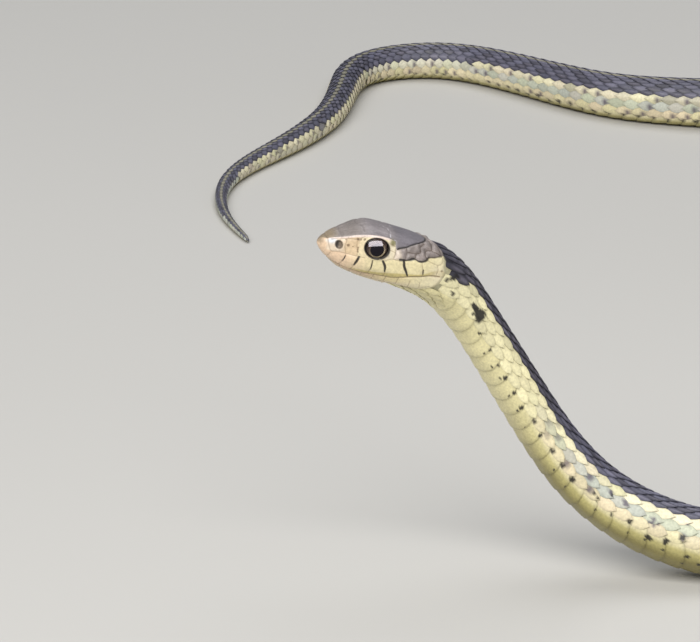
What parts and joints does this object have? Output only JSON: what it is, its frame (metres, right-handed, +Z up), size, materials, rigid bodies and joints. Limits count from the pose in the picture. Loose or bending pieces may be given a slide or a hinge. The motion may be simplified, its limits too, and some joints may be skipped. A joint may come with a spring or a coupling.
{
  "type": "garter snake",
  "caption": "Life-size still model of a garter snake lying in loose curves with its head and neck raised off the ground.",
  "frame": {"origin": "on the floor, at the middle of the snake's box", "axes": "+Z up, -X the way the raised head looks, +Y from the raised front towards the tail end"},
  "size_m": [0.1522, 0.2974, 0.0608],
  "materials": {
    "skin_dark": "satin",
    "skin_pale": "satin",
    "eye": "wet gloss"
  },
  "bodies": {
    "root": {"head": "skin_dark", "lower_jaw": "skin_pale", "eye_left": "eye", "eye_right": "eye", "neck": "skin_dark", "body_1": "skin_dark", "body_2": "skin_dark", "body_3": "skin_dark", "body_4": "skin_dark", "body_5": "skin_dark", "body_6": "skin_dark", "body_7": "skin_dark", "body_8": "skin_dark", "body_9": "skin_dark", "tail_1": "skin_dark", "tail_2": "skin_dark", "tail_3": "skin_dark"}
  },
  "joints": []
}
